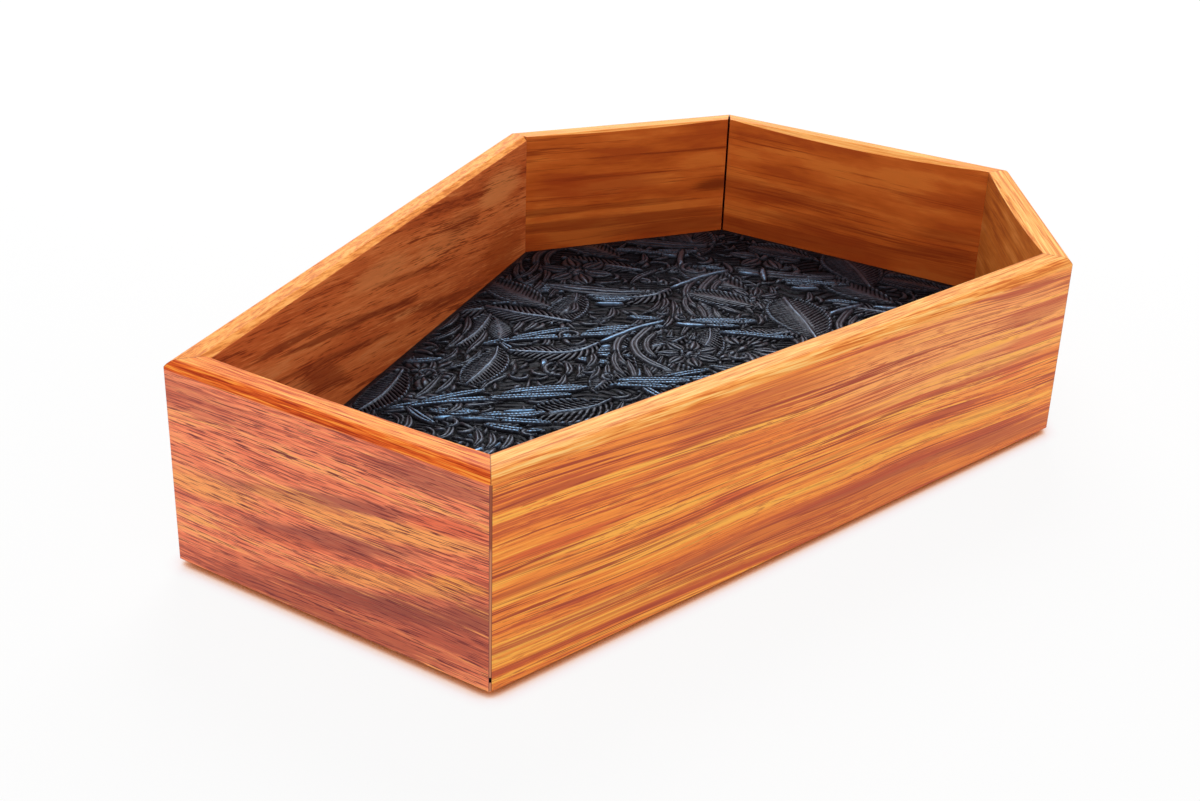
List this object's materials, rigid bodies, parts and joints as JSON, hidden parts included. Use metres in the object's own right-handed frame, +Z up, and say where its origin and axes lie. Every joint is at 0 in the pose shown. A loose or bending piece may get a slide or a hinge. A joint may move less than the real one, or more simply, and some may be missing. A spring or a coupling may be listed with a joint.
{
  "type": "dice tray",
  "caption": "Coffin-shaped open dice tray with mitred hardwood walls and a raised floor lined with embossed leather.",
  "frame": {"origin": "on the surface the tray stands on, under the middle of its bounding box", "axes": "+Y from the narrow foot end to the head end, +Z up, +X to the right as seen from the foot end"},
  "size_m": [0.2358, 0.327, 0.0655],
  "materials": {
    "foot_wood": "oiled, satin",
    "side_wood": "oiled, satin",
    "head_wood": "oiled, satin",
    "panel_wood": "bare plywood",
    "floor_leather": "embossed, satin black",
    "pad_felt": "pressed felt"
  },
  "bodies": {
    "root": {"foot_wall": "foot_wood", "right_side_wall": "side_wood", "right_shoulder_wall": "side_wood", "head_wall": "head_wood", "left_shoulder_wall": "head_wood", "left_side_wall": "side_wood", "base_panel": "panel_wood", "leather_liner": "floor_leather", "underside_pad": "pad_felt"}
  },
  "joints": []
}
